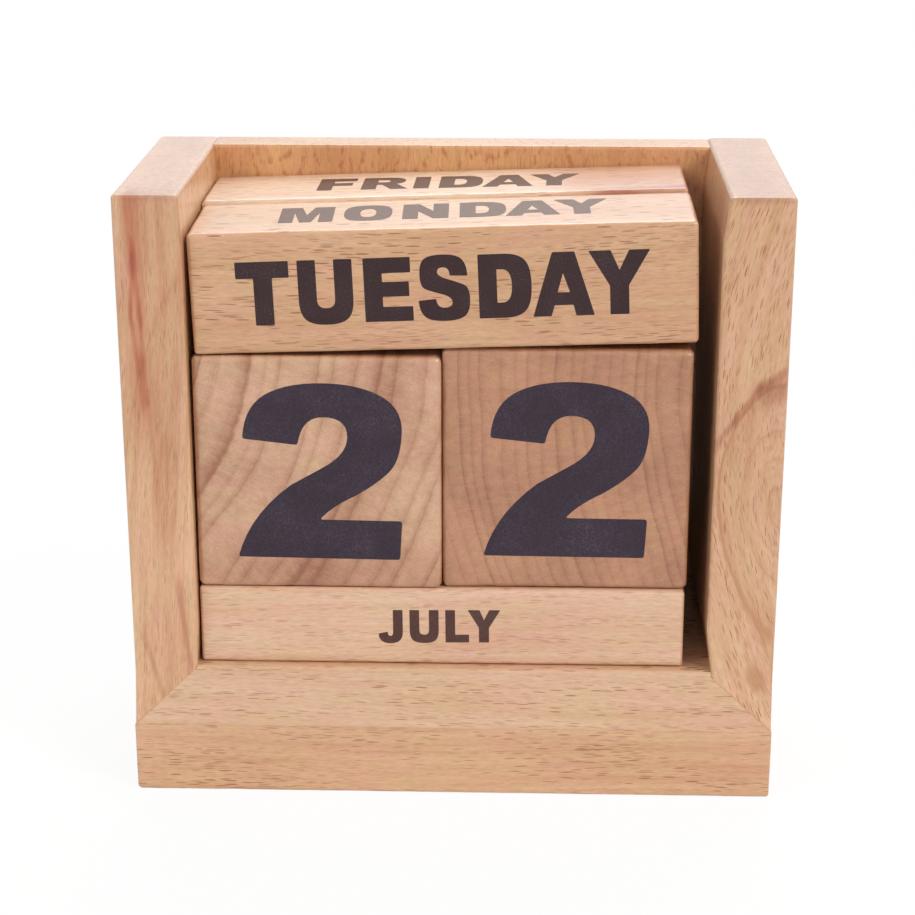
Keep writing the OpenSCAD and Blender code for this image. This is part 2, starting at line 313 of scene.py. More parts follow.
def saw_board(name, pith, along, colours, bow=0.0, bow_at=0.0, swell=None, tints=(),
              edge_colour=None, **habit):
    """A board or block cut from the log and sanded and waxed: satin, with the pores just open.
    pith is a point of the log's middle and along the way the grain runs. bow bends the grain
    sideways, swell lifts the rings under one spot, tints are streaks of darker wood, and on some
    pieces painted shade and greyer tops that partly paint their sheen, edge_colour is the colour the
    edges turn to, and habit sets the grain's other inputs by their names."""
    material, add = new_material("sanded steamed beech, " + name)
    grain = Vector(along).normalized()
    turn = grain.rotation_difference(Vector((0, 0, 1))).to_matrix()
    start = turn @ Vector(pith)
    where = add("TexCoord", out="Object")
    if bow:
        part = add("SeparateXYZ", where, out=None)
        high = add("Math SUBTRACT", part[2], bow_at * MM)
        high = add("Math POWER", high, 2.0)
        across = add("Math MULTIPLY_ADD", high, -bow / MM, part[0])
        where = add("CombineXYZ", across, part[1], part[2])
    if swell:
        middle, spread, height = swell
        off = add("VectorMath SUBTRACT", where, Vector(middle) * MM)
        off = add("VectorMath MULTIPLY", off, [1 / (MM * v) for v in spread])
        off = add("VectorMath DOT_PRODUCT", off, off, out="Value")
        off = add("Math MULTIPLY", -1.0, off)
        off = add("Math EXPONENT", off)
        off = add("VectorMath SCALE", (0.0, height * MM, 0.0), {"Scale": off})
        where = add("VectorMath ADD", where, off)
    point = add("Mapping", where,
                {"Location": -start, "Rotation": turn.to_euler(),
                 "Scale": (1 / MM, 1 / MM, 1 / MM)})
    values = {"Point": point} | dict(zip(("Pale", "Deep", "Fleck"), map(srgb, colours)))
    values |= {key.replace("_", " ").capitalize(): value for key, value in habit.items()}
    beech = add("Group", values, node_tree=beech_nodes, out=None)
    colour = beech["Colour"]
    straight = add("TexCoord", out="Object")
    straight = add("VectorMath SCALE", straight, {"Scale": 1 / MM})
    for start, end, spread, strength, tint in tints:
        amount = add("Group", straight, start, end, spread, node_tree=tint_streak_nodes)
        amount = add("Math MULTIPLY", amount, strength)
        colour = add("Mix", amount, {6: colour, 7: srgb(tint)}, data_type="RGBA",
                     blend_type="MULTIPLY", out=2)

    # Edges differ a little from the faces, in patches some 4 mm wide: partly wear, and partly
    # painted light and shade, darker on the boards and weekday bars, redder on the month bars, paler
    # on the cubes
    edge = add("Attribute", attribute_name="edge", out="Fac")
    patch = add("TexNoise", where, {"Scale": 260.0, "Detail": 3.0})
    patch = add("MapRange", patch, 0.35, 0.7)
    edge_tint = add("Math MULTIPLY", edge, patch, use_clamp=True)
    edge_tint = add("Math MULTIPLY", edge_tint, 0.5)
    seam = add("Attribute", attribute_name="seam", out="Fac")
    edge_tint = add("Math MULTIPLY_ADD", seam, 0.7, edge_tint, use_clamp=True)
    colour = add("Mix", edge_tint, {6: colour, 7: srgb(edge_colour or colours[1])}, data_type="RGBA",
                 out=2)
    bump = add("Bump", {"Strength": 0.5, "Distance": 0.05 * MM, "Height": beech["Relief"]})
    shader = add("BsdfPrincipled",
                 {"Base Color": colour, "Roughness": beech["Roughness"], "IOR": 1.5,
                  "Coat Weight": 1.0, "Coat Roughness": 0.26, "Coat IOR": 1.5, "Normal": bump})
    add("OutputMaterial", {"Surface": shader}, out=None)
    return material


def mix_ink(name, film_colour, bloom_colour, wood_colour, gloss=1.4):
    """Matt printing ink, rolled thinly on wood: a purple black film with a fine grey bloom that
    thins out in a few specks over the pores. gloss is the film's index of refraction."""
    material, add = new_material("matt printing ink, " + name)
    # Specks some 0.4 mm wide in clouds some 6 mm wide
    where = add("TexCoord", out="Object")
    specks = add("TexNoise", where, {"Scale": 2600.0, "Detail": 2.0, "Roughness": 0.7})
    wide = add("TexNoise", where, {"Scale": 170.0, "Detail": 2.0})
    both = add("Math MULTIPLY_ADD", wide, 0.5, specks)
    bloom = add("MapRange", both, 0.62, 0.95, {"To Max": 0.45})
    colour = add("Mix", bloom, {6: srgb(film_colour), 7: srgb(bloom_colour)}, data_type="RGBA",
                 out=2)
    wood_share = add("MapRange", both, 0.92, 1.1, {"To Max": 0.15})
    # Painted sheen: on the top faces the film is mixed towards the wood's colour, so they look
    # lighter, as the light glancing off them makes them look
    up = add("NewGeometry", out="True Normal")
    up = add("SeparateXYZ", up, out=2)
    painted_sheen = add("MapRange", up, 0.5, {"To Max": 0.14})
    wood_share = add("Math ADD", wood_share, painted_sheen)
    colour = add("Mix", wood_share, {6: colour, 7: srgb(wood_colour)}, data_type="RGBA", out=2)
    bump = add("Bump", {"Strength": 0.4, "Distance": 0.03 * MM, "Height": specks})
    rough = add("MapRange", specks, 0.3, 0.7, 0.36, 0.5)
    shader = add("BsdfPrincipled",
                 {"Base Color": colour, "Roughness": rough, "IOR": gloss, "Normal": bump})
    add("OutputMaterial", {"Surface": shader}, out=None)
    return material


# ---- blocks


def shape_eased_block():
    """A block with eased edges, from its size, its edge radius and how far out of square it was
    sawn. Its lowest corner is at the given corner, and it can lean to one side."""
    tree = bpy.data.node_groups.new("eased block", "GeometryNodeTree")
    add = partial(add_node, tree)
    sockets(tree, (
        ("Geometry", "Geometry", None), ("Size", "Vector", None), ("Lines", "Vector", None),
        ("Edge radius", "Float", 0.001), ("Top radius", "Float", 0.001),
        ("Unevenness", "Float", 0.2), ("Skew", "Float", 0.0),
        ("Lean", "Float", 0.0), ("Corner", "Vector", None), ("Seed", "Float", 0.0),
        ("Wood", "Material", None)), "INPUT")
    sockets(tree, (("Geometry", "Geometry", None),), "OUTPUT")
    given = add("NodeGroupInput", out=None)
    lines = add("SeparateXYZ", given["Lines"], out=None)
    cube = add("GeometryNodeMeshCube",
               {"Size": (2.0, 2.0, 2.0), "Vertices X": lines[0], "Vertices Y": lines[1],
                "Vertices Z": lines[2]})
    spot = add("GeometryNodeInputPosition")
    half = add("VectorMath SCALE", given["Size"], {"Scale": 0.5})
    rough_spot = add("VectorMath MULTIPLY", spot, half)

    # The rounding varies over some 7 mm along the edges, as sanding by hand leaves it
    waver = add("TexNoise", rough_spot, {"W": given["Seed"], "Scale": 140.0, "Detail": 1.0},
                noise_dimensions="4D")
    waver = add("Math ADD", waver, -0.5)
    waver = add("Math MULTIPLY_ADD", waver, given["Unevenness"], 0.5)
    high = add("SeparateXYZ", spot, out=2)
    radius = add("MapRange", high, -1.0,
                 {"To Min": given["Edge radius"], "To Max": given["Top radius"]})
    radius = add("Math MULTIPLY", radius, waver)
    radius = add("Math MULTIPLY", radius, 2.0)

    # Share of each half side that stays flat, by the number of lines over the edge
    cells = add("VectorMath SUBTRACT", given["Lines"], (1.0, 1.0, 1.0))
    share = add("VectorMath DIVIDE", (EDGE_ROWS,) * 3, cells)
    flat = add("VectorMath SUBTRACT", (1.0, 1.0, 1.0), share)
    out = add("VectorMath ABSOLUTE", spot)
    sides = add("VectorMath SIGN", spot)
    inner = add("VectorMath SUBTRACT", half, radius)
    level = add("VectorMath DIVIDE", out, flat)
    level = add("VectorMath MINIMUM", level, (1.0, 1.0, 1.0))
    core = add("VectorMath MULTIPLY", level, inner)
    bend = add("VectorMath SUBTRACT", out, flat)
    bend = add("VectorMath DIVIDE", bend, share)
    bend = add("VectorMath MAXIMUM", bend, (0.0, 0.0, 0.0))
    bend = add("VectorMath SCALE", bend, {"Scale": math.pi / 4})
    bend = add("VectorMath TANGENT", bend)
    bend = add("VectorMath NORMALIZE", bend)
    bend = add("VectorMath SCALE", bend, {"Scale": radius})
    place = add("VectorMath ADD", core, bend)
    place = add("VectorMath MULTIPLY_ADD", place, sides, half)

    # Out of square: the further back and the higher up, the more it rises
    part = add("SeparateXYZ", place, out=None)
    share = add("VectorMath DIVIDE", place, given["Size"])
    share = add("SeparateXYZ", share, out=None)
    lift = add("Math MULTIPLY", share[1], share[2])
    lift = add("Math MULTIPLY_ADD", lift, given["Skew"], part[2])
    place = add("CombineXYZ", part[0], part[1], lift)
    lean = add("CombineXYZ", {1: given["Lean"]})
    place = add("VectorRotate", place, {"Rotation": lean}, rotation_type="EULER_XYZ")
    place = add("VectorMath ADD", place, given["Corner"])
    block = add("GeometryNodeSetPosition", cube, {"Position": place})
    block = add("GeometryNodeSetShadeSmooth", block)
    block = add("GeometryNodeRealizeInstances", block)
    block = add("GeometryNodeSetMaterial", block, {"Material": given["Wood"]})
    add("NodeGroupOutput", {"Geometry": block}, out=None)
    return tree


def cut_block(name, corner, size, material, seed, radius, top_radius, skew=0.0, lean=0.0):
    """Cuts one block by the tree's named sizes (here in millimetres) as a plain mesh."""
    maker = put(name + "_maker", bpy.data.meshes.new(name + "_maker"))
    modifier = maker.modifiers.new("eased block", "NODES")
    modifier.node_group = block_tree
    values = {"Size": [s * MM for s in size], "Corner": [c * MM for c in corner],
              "Lines": [float(max(1, round(s / FACE_STEP)) + EDGE_ROWS + 1) for s in size],
              "Edge radius": radius * MM, "Top radius": top_radius * MM,
              "Unevenness": UNEVENNESS, "Skew": skew * MM, "Lean": -lean, "Seed": float(seed),
              "Wood": material}
    for item in block_tree.interface.items_tree:
        if item.item_type == "SOCKET" and item.in_out == "INPUT" and item.name in values:
            modifier[item.identifier] = values[item.name]
    bpy.context.view_layer.update()
    seen = maker.evaluated_get(bpy.context.evaluated_depsgraph_get())
    mesh = bpy.data.meshes.new_from_object(seen)
    mesh.name = name
    mesh.set_sharp_from_angle(angle=SHARP_ANGLE)
    bpy.data.objects.remove(maker)
    return put(name, mesh)


# ---- boards


def runs(low, high, step):
    """Evenly spread values from low to high, both left out."""
    count = max(1, round((high - low) / step))
    return [low + (high - low) * i / count for i in range(1, count)]


def eased_outline(low, high, r, nominal):
    """A rectangle with eased corners, counterclockwise. nominal is the size that sets how many
    points each side gets, so that outlines of different sizes match point by point."""
    corners = ((high[0] - r, high[1] - r, 0), (low[0] + r, high[1] - r, 90),
               (low[0] + r, low[1] + r, 180), (high[0] - r, low[1] + r, 270))
    points = []
    for i, (x, y, start) in enumerate(corners):
        for step in range(EDGE_ROWS + 1):
            a = math.radians(start + 90 * step / EDGE_ROWS)
            points.append((x + r * math.cos(a), y + r * math.sin(a)))
        nx, ny, after = corners[(i + 1) % 4]
        a = math.radians(after)
        first = points[-1]
        last = (nx + r * math.cos(a), ny + r * math.sin(a))
        count = max(1, round(nominal[i % 2] / FACE_STEP))
        for k in range(1, count):
            points.append(tuple(first[j] + (last[j] - first[j]) * k / count for j in (0, 1)))
    return points


def loft(name, rings, material):
    """A closed solid through rings of points, given in millimetres."""
    count = len(rings[0])
    points = [tuple(c * MM for c in p) for ring in rings for p in ring]
    faces = [tuple(range(count - 1, -1, -1))]
    for row in range(len(rings) - 1):
        a = row * count
        faces += [(a + i, a + (i + 1) % count, a + count + (i + 1) % count, a + count + i)
                  for i in range(count)]
    faces.append(tuple(range((len(rings) - 1) * count, len(rings) * count)))
    mesh = bpy.data.meshes.new(name)
    mesh.from_pydata(points, [], faces)
    mesh.materials.append(material)
    mesh.shade_smooth()
    mesh.set_sharp_from_angle(angle=SHARP_ANGLE)
    return put(name, mesh)


def between(value, pairs):
    """Straight-line lookup in a list of (at, result)."""
    return float(np.interp(value, [p[0] for p in pairs], [p[1] for p in pairs]))


def ease_at(z, top, ease):
    """How far a side board's inner face is sanded away at a height."""
    return between(z, ((FLOOR_Z, ease), (FLOOR_Z + EASE_H, 0), (top - EASE_H, 0), (top, ease)))


def lean_at(z, top, lean):
    """How far a side board has leaned outwards at a height."""
    return between(z, ((FLOOR_Z, 0), (top, lean)))


# Rows of points from the mitre to just above the floor, closest at the joint
JOINT_RISE = 1.5
JOINT_ROWS = (0, 0.012, 0.03, 0.07, 0.14, 0.25, 0.4, 0.55, 0.7, 0.85, 1)

# How dark the glue line is on the first rows
SEAM = (1.0, 0.8, 0.3)


def side_board(name, outer_x, inward, thick, top, flare, ease, lean, material):
    """A side board, mitred at its foot. u runs from its outer face (0) inwards."""
    def ring(z_of):
        return [(outer_x + inward * u, y, z) for u, y, z in z_of]

    def level(z, inset=0.0, shrink=0.0):
        out = between(z, ((PLINTH_TOP, -flare), (FOOT_TOP, 0))) - lean_at(z, top, lean)
        front = between(z, ((PLINTH_TOP, FRONT_Y - FLARE_FRONT), (FOOT_TOP, FRONT_Y)))
        inner = thick - ease_at(z, top, ease) - lean_at(z, top, lean)
        r = max(0.05, BOARD_EDGE_R - shrink)
        gap = inset + shrink
        return eased_outline((out + gap, front + gap), (inner - gap, BACK_Y - gap), r,
                             (thick, BACK_Y - FRONT_Y))

    joint_top = FLOOR_Z + JOINT_RISE
    rings = []
    for share in JOINT_ROWS:
        row = []
        for i in range(len(level(top))):
            z = joint_top
            for _ in range(4):  # the outline changes with the height, so it is found in steps
                u, y = level(z)[i]
                start = PLINTH_TOP + BASE_T * (u + flare) / (thick + flare)
                z = start + (joint_top - start) * share
            row.append((u, y, z))
        rings.append(ring(row))
    for z in runs(joint_top, top - BOARD_EDGE_R, FACE_STEP) + [top - BOARD_EDGE_R]:
        rings.append(ring([(u, y, z) for u, y in level(z)]))
    for step in range(1, EDGE_ROWS + 1):
        a = math.pi / 2 * step / EDGE_ROWS
        z = top - BOARD_EDGE_R * (1 - math.sin(a))
        inset = BOARD_EDGE_R * (1 - math.cos(a))
        rings.append(ring([(u, y, z) for u, y in level(z, inset)]))
    for shrink in (0.3, 0.6, 1.2, 2.4):
        rings.append(ring([(u, y, top) for u, y in level(top, BOARD_EDGE_R, shrink)]))
    if inward < 0:
        rings = [r[::-1] for r in rings]
    piece = loft(name, rings, material)
    seam = piece.data.attributes.new("seam", "FLOAT", "POINT")
    count = len(rings[0])
    for row, strength in enumerate(SEAM):
        for i in range(count):
            seam.data[row * count + i].value = strength
    return piece


def across(profile, left_at, right_at, name, material):
    """A board with one profile in y and z, whose two ends follow their own lines. The profile
    runs clockwise, and is turned round so that the faces point outwards."""
    rim = (0.0, 0.15, 0.4, 1.0, 2.2)
    width = right_at(profile[0][1]) - left_at(profile[0][1])
    profile = profile[::-1]
    rings = []
    for r in rim:
        rings.append([(left_at(z) + r, y, z) for y, z in profile])
    for m in runs(0, 1, FACE_STEP / width):
        rings.append([(left_at(z) + rim[-1] + m * (right_at(z) - left_at(z) - 2 * rim[-1]), y, z)
                      for y, z in profile])
    for r in rim[::-1]:
        rings.append([(right_at(z) - r, y, z) for y, z in profile])
    return loft(name, rings, material)


def mark_edges(piece, wear, seed):
    """Stores how near each point is to a rounded edge, and softens the edges with small dents
    that only go inwards."""
    mesh = piece.data
    n = len(mesh.vertices)
    normals = np.empty(n * 3, np.float32)
    mesh.vertex_normals.foreach_get("vector", normals)
    normals = normals.reshape(-1, 3)
    spots = np.empty(n * 3, np.float32)
    mesh.vertices.foreach_get("co", spots)
    spots = spots.reshape(-1, 3)
    edge = np.clip((1 - np.abs(normals).max(1)) / WHOLE_EDGE, 0, 1)
    edge[edge < LEAST_SHARE] = 0
    attribute = mesh.attributes.new("edge", "FLOAT", "POINT")
    attribute.data.foreach_set("value", edge.astype(np.float32))
    for i in np.nonzero(edge)[0]:
        p = Vector(spots[i]) / MM
        dent = max(0.0, noise.noise(p * DENTS + Vector((seed, 0, 0))))
        nick = max(0.0, noise.noise(p * NICKS + Vector((0, seed, 0))) - NICK_START)
        depth = wear * edge[i] * (dent + NICK_DEPTH * nick)
        spots[i] -= normals[i] * depth * MM
    mesh.vertices.foreach_set("co", spots.ravel())
    mesh.update()


# ---- lettering
# A heavy plain alphabet. Heights run from 0 to 100. Each outline is a row of x,y points, and a
# point with ~ before it pulls the line towards itself without lying on it.

LETTERS = {
    "A": ("0,0 31,100 65,100 94,0 66,0 62,17 33,17 28,0", "38,37 57,37 47,67"),
    "B": ("0,0 0,100 44,100 ~77,100 77,75 ~77,58 62,53 ~82,47 82,28 ~82,0 46,0",
          "28,61 28,79 40,79 ~49,79 49,70 ~49,61 40,61",
          "28,21 28,42 42,42 ~53,42 53,31 ~53,21 42,21"),
    "C": ("82,66 ~77,102 43,102 ~18,102 ~0,80 0,50 ~0,20 ~18,-2 43,-2 ~77,-2 82,36 54,33 "
          "~52,22 43,22 ~29,22 29,50 ~29,78 43,78 ~52,78 54,64",),
    "D": ("0,0 0,100 40,100 ~62,100 ~81,79 81,50 ~81,21 ~62,0 40,0",
          "28,24 28,76 36,76 ~51,76 51,50 ~51,24 36,24"),
    "E": ("0,0 0,100 72,100 72,76 28,76 28,62 69,62 69,39 28,39 28,23 74,23 74,0",),
    "F": ("0,0 0,100 70,100 70,76 28,76 28,61 64,61 64,38 28,38 28,0",),
    "G": ("84,67 ~80,102 44,102 ~18,102 ~0,80 0,50 ~0,20 ~18,-2 45,-2 ~70,-2 87,12 87,56 "
          "46,56 46,36 60,36 60,25 ~54,21 46,21 ~29,21 29,50 ~29,79 44,79 ~55,79 57,64",),
    "H": ("0,0 0,100 28,100 28,63 55,63 55,100 83,100 83,0 55,0 55,38 28,38 28,0",),
    "I": ("0,0 0,100 29,100 29,0",),
    "J": ("42,100 70,100 70,32 ~70,-3 35,-3 ~0,-3 0,27 26,33 ~27,20 34,20 ~42,20 42,34",),
    "L": ("0,0 0,100 28,100 28,24 68,24 68,0",),
    "M": ("0,0 0,100 36,100 47,48 59,100 94,100 94,0 69,0 69,64 57,0 37,0 25,64 25,0",),
    "N": ("0,0 0,100 28,100 53,50 53,100 80,100 80,0 53,0 27,51 27,0",),
    "O": ("0,50 ~0,80 ~18,102 42,102 ~66,102 ~84,80 84,50 ~84,20 ~66,-2 42,-2 ~18,-2 ~0,20",
          "28,50 ~28,78 42,78 ~56,78 56,50 ~56,22 42,22 ~28,22"),
    "P": ("0,0 0,100 44,100 ~79,100 79,67 ~79,35 44,35 28,35 28,0",
          "28,57 28,78 41,78 ~51,78 51,67 ~51,57 41,57"),
    "R": ("0,0 0,100 46,100 ~80,100 80,72 ~80,52 64,46 88,0 56,0 37,40 28,40 28,0",
          "28,60 28,79 42,79 ~51,79 51,69 ~51,60 42,60"),
    "S": ("76,68 ~76,84 ~62,102 39,102 ~18,102 ~3,90 3,71 ~3,52 ~20,45 34,41 ~52,36 52,27 "
          "~52,19 39,19 ~28,19 27,33 0,31 ~1,14 ~16,-2 40,-2 ~62,-2 ~79,12 79,31 ~79,50 "
          "~62,58 47,63 ~30,68 30,75 ~30,82 39,82 ~49,82 49,69",),
    "T": ("0,74 0,100 82,100 82,74 56,74 56,0 27,0 27,74",),
    "U": ("0,100 28,100 28,38 ~28,24 42,24 ~56,24 56,38 56,100 84,100 84,38 ~84,16 ~66,-2 "
          "42,-2 ~18,-2 ~0,16 0,38",),
    "V": ("0,100 30,100 46,36 62,100 92,100 62,0 30,0",),
    "W": ("0,100 29,100 38,44 51,100 80,100 93,44 102,100 131,100 108,0 80,0 66,54 51,0 23,0",),
    "Y": ("0,100 34,100 47,69 62,100 94,100 61,45 61,0 32,0 32,45",),
    "0": ("0,50 ~0,80 ~18,102 43,102 ~68,102 ~86,80 86,50 ~86,20 ~68,-2 43,-2 ~18,-2 ~0,20",
          "30,50 ~30,79 43,79 ~56,79 56,50 ~56,21 43,21 ~30,21"),
    "1": ("26,0 26,68 0,68 0,88 ~24,88 33,100 56,100 56,0",),
    "2": ("0,0 89,0 90,22.5 45,22.5 ~51,30 65,37 ~78,45 ~89,58 89.5,73 ~90,87 ~66,100 47,100 "
          "~27,100 ~4,86 3,68 33,65 ~35,81 47,81 ~60,81 60,70 ~60,60 46,52 29,42 ~6,24",),
    "3": ("4,70 ~10,102 45,102 ~84,102 84,74 ~84,59 66,53 ~88,46 88,28 ~88,-2 45,-2 ~6,-2 "
          "0,31 30,34 ~32,20 44,20 ~58,20 58,31 ~58,42 43,42 35,42 35,62 43,62 ~55,62 55,71 "
          "~55,80 44,80 ~34,80 32,67",),
    "4": ("52,0 52,20 0,20 0,43 49,100 80,100 80,42 92,42 92,20 80,20 80,0", "52,42 52,69 29,42"),
    "5": ("12,100 81,100 81,77 38,77 36,63 ~44,67 53,67 ~88,67 88,34 ~88,-2 44,-2 ~6,-2 "
          "0,30 30,34 ~32,20 44,20 ~58,20 58,33 ~58,46 45,46 ~37,46 33,40 5,44",),
    "6": ("84,74 ~78,102 46,102 ~20,102 ~0,82 0,48 ~0,22 ~18,-2 45,-2 ~87,-2 87,32 ~87,65 "
          "52,65 ~38,65 30,57 ~31,81 46,81 ~54,81 56,71",
          "44,45 ~57,45 57,32 ~57,19 44,19 ~31,19 31,32 ~31,45"),
    "7": ("0,100 86,100 86,80 ~52,48 50,0 20,0 ~22,42 53,76 0,76",),
    "8": ("44,102 ~82,102 82,75 ~82,59 68,53 ~87,46 87,28 ~87,-2 44,-2 ~0,-2 0,28 ~0,46 "
          "19,53 ~5,59 5,75 ~5,102",
          "44,82 ~55,82 55,72 ~55,62 44,62 ~32,62 32,72 ~32,82",
          "44,43 ~58,43 58,31 ~58,19 44,19 ~29,19 29,31 ~29,43"),
}

# Room kept free at each letter's left and right
ROOM = dict.fromkeys("HIMNU", (8, 8)) | dict.fromkeys("AVWY", (-2, -2)) | {
    "B": (8, 5), "C": (5, 4), "D": (8, 5), "E": (8, 4), "F": (8, 2), "G": (5, 8), "J": (2, 8),
    "L": (8, 1), "O": (5, 5), "P": (8, 2), "R": (8, 1), "S": (5, 5), "T": (4, 4)}

CORNER_SOFTNESS = 1.6
CURVE_STEPS = 7

# The longest word that fits on a bar, in millimetres
WORD_ROOM = 82


def trace(outline):
    """Turns a row of points into a closed line: pulls become curves, sharp corners are rounded a
    little, as ink rounds them."""
    raw = [(tuple(float(v) for v in word.lstrip("~").split(",")), word[0] == "~")
           for word in outline.split()]
    full = []
    for i, (p, pull) in enumerate(raw):
        full.append((p, pull))
        q, next_pull = raw[(i + 1) % len(raw)]
        if pull and next_pull:
            full.append((((p[0] + q[0]) / 2, (p[1] + q[1]) / 2), False))
    line = []
    count = len(full)
    for i, (p, pull) in enumerate(full):
        before, after = Vector(full[i - 1][0]), Vector(full[(i + 1) % count][0])
        here = Vector(p)
        if pull:
            for k in range(1, CURVE_STEPS):
                t = k / CURVE_STEPS
                line.append(before * (1 - t) ** 2 + here * 2 * t * (1 - t) + after * t ** 2)
        else:
            a, b = (before - here).normalized(), (after - here).normalized()
            if a.dot(b) > -0.97:
                start, end = here + a * CORNER_SOFTNESS, here + b * CORNER_SOFTNESS
                line += [start * (1 - t) ** 2 + here * 2 * t * (1 - t) + end * t ** 2
                         for t in (0, 0.33, 0.67, 1)]
            else:
                line.append(here)
    return line


def set_word(text, height, width=None, turn=0.0, up=0.0, nudges=None):
    """Outlines of a word in millimetres, its ink centred on the face. height is that of its
    capitals, width that of the whole word, turn in degrees, up how far above the middle. The
    letters were set by hand: nudges tells how far to the right of its place each one sits."""
    shapes, x = [], 0.0
    for letter in text:
        left, right = ROOM.get(letter, (6, 6))
        outlines = [trace(o) for o in LETTERS[letter]]
        shapes.append([[p + Vector((x + left, 0)) for p in o] for o in outlines])
        x += left + max(p.x for p in outlines[0]) + right
    start = min(p.x for shape in shapes for p in shape[0])
    end = max(p.x for shape in shapes for p in shape[0])
    high = height / 100
    wide = width / (end - start) if width else high
    if wide * (end - start) > WORD_ROOM:
        high = wide = WORD_ROOM / (end - start)
    spin = Matrix.Rotation(math.radians(turn), 2)
    shift = Vector((0, up))
    return [[[spin @ Vector(((p.x - (start + end) / 2) * wide + nudge, (p.y - 50) * high)) + shift
              for p in o] for o in shape] for shape, nudge in zip(shapes, nudges or [0] * len(text))]


def print_block(name, prints, material):
    """All the words on one block as one thin film. Each print is (outlines, middle of the face,
    way to the right, way up), in millimetres."""
    points, faces = [], []
    for shapes, middle, right, up in prints:
        out = right.cross(up).normalized()
        for shape in shapes:
            flat = [[Vector((p.x, p.y, 0)) for p in o] for o in shape]
            loops = [p for o in flat for p in o]
            start, count = len(points), len(loops)
            for lift in (INK_PROUD, -INK_DEEP):
                points += [middle + right * p.x + up * p.y + out * lift for p in loops]
            for tri in tessellate_polygon(flat):
                a, b, c = (loops[i] for i in tri)
                if (b - a).cross(c - a).z < 0:
                    tri = tri[::-1]
                faces.append([start + i for i in tri])
                faces.append([start + count + i for i in tri[::-1]])
            at = start
            for number, o in enumerate(flat):
                n = len(o)
                area = sum(o[i - 1].x * o[i].y - o[i].x * o[i - 1].y for i in range(n))
                solid_left = (area > 0) == (number == 0)
                for i in range(n):
                    a, b = at + i, at + (i + 1) % n
                    wall = [a, a + count, b + count, b]
                    faces.append(wall if solid_left else wall[::-1])
                at += n
    mesh = bpy.data.meshes.new(name)
    mesh.from_pydata([tuple(p * MM) for p in points], [], faces)
    mesh.materials.append(material)
    return put(name, mesh)


def faces_of_block(corner, size, skew=0.0, lean=0.0):
    """The six faces of a block as name: (middle, right, up), in millimetres."""
    w, d, h = size
    turn = Matrix.Rotation(-lean, 3, "Y")
    x, y, z = Vector((1, 0, 0)), Vector((0, 1, 0)), Vector((0, 0, 1))
    raw = {
        "front": (Vector((w / 2, 0, h / 2)), x, z),
        "top": (Vector((w / 2, d / 2, h + skew / 2)), x, Vector((0, d, skew)).normalized()),
        "back": (Vector((w / 2, d, (h + skew) / 2)), x, -z),
        "under": (Vector((w / 2, d / 2, 0)), x, -y),
        "left": (Vector((0, d / 2, h / 2)), -y, z),
        "right": (Vector((w, d / 2, h / 2)), y, z),
    }
    return {name: (turn @ m + Vector(corner), turn @ r, turn @ u)
            for name, (m, r, u) in raw.items()}


# ---- the piece list

def corners(node):
    """The lowest and the highest corner of a node, in millimetres."""
    low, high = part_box(node)
    return [v / MM for v in low], [v / MM for v in high]


def block_at(node):
    """The lowest corner and the size of a node that is a plain block."""
    low, high = corners(node)
    return low, [h - l for l, h in zip(low, high)]


plinth_low, plinth_high = corners("plinth")
cube_low, cube_high = corners("number_cube_right")
LEFT_TOP, RIGHT_TOP = corners("left_side")[1][2], corners("right_side")[1][2]
PLINTH_TOP = plinth_high[2]
FLOOR_Z = PLINTH_TOP + BASE_T
FOOT_TOP = PLINTH_TOP + FOOT_H
LEFT_X = plinth_low[0] + LIP_LEFT
RIGHT_X = plinth_high[0] - LIP_RIGHT
FRONT_Y = plinth_low[1] + LIP_FRONT
BACK_Y = corners("left_side")[1][1]
PANEL_Y = corners("back_panel")[0][1]

# Tints of the streaks in the wood, and of the tops of the upright boards: their end grain is duller,
# and the greyer tint there partly paints the sheen that light puts on them. The heart tint also
# paints shade on the rear weekday bar.
STREAK, HEART_AND_SHADE, BROWN = "#e6b49c", "#dfc3b2", "#c9906c"
DULL_AND_SHEEN_LEFT, DULL_AND_SHEEN_RIGHT, DULL_AND_SHEEN_BACK = "#dad4df", "#d5c8c5", "#f4f9ff"

beech_nodes = grow_beech()
tint_streak_nodes = grow_tint_streak()
block_tree = shape_eased_block()

# Stains, and tints that paint shade and sheen, each from a point to a point: how far it spreads, how
# strong it is and its tint
LEFT_STAINS = (
    ((-59.4, -29, 122), (-59.3, -29, 108), (1.9, 8, 6), 0.75, STREAK),
    ((-59.3, -29, 108), (-60.0, -29, 97), (0.8, 8, 5), 0.75, STREAK),
    ((-59.3, -29, 108), (-58.2, -29, 97), (0.8, 8, 5), 0.7, STREAK),
    ((-60.0, -29, 97), (-59.2, -29, 88), (0.7, 8, 5), 0.6, STREAK),
    ((-58.2, -29, 97), (-58.0, -29, 88), (0.8, 8, 5), 0.6, STREAK),
    ((-58.6, -29, 88), (-58.1, -29, 81), (1.3, 8, 4), 0.8, STREAK),
    ((-57.4, -29, 79), (-56.6, -29, 64), (0.7, 8, 6), 0.4, STREAK),
    ((-58.9, -29, 122), (-58.9, -29, 82), (2.8, 9, 12), 0.4, STREAK),
    ((-56, -31, 122), (-56, -31, 84), (11, 9, 26), 0.5, HEART_AND_SHADE),
    ((-56, -31, 122), (-56, -31, 84), (11, 9, 26), 0.12, BROWN),
    ((-56, -31, 70), (-56, -31, 10), (11, 9, 26), 0.3, HEART_AND_SHADE),
    # Greyer top face: duller end grain, partly painted sheen
    ((-56, -40, 121), (-56, 40, 121), (14, 14, 3), 1.1, DULL_AND_SHEEN_LEFT),
    ((-53.2, -29, 42), (-51.6, -29, 27), (1.0, 8, 5), 0.5, BROWN),
    ((-60.2, -29, 32), (-57.0, -29, 20), (1.0, 8, 5), 0.35, BROWN))
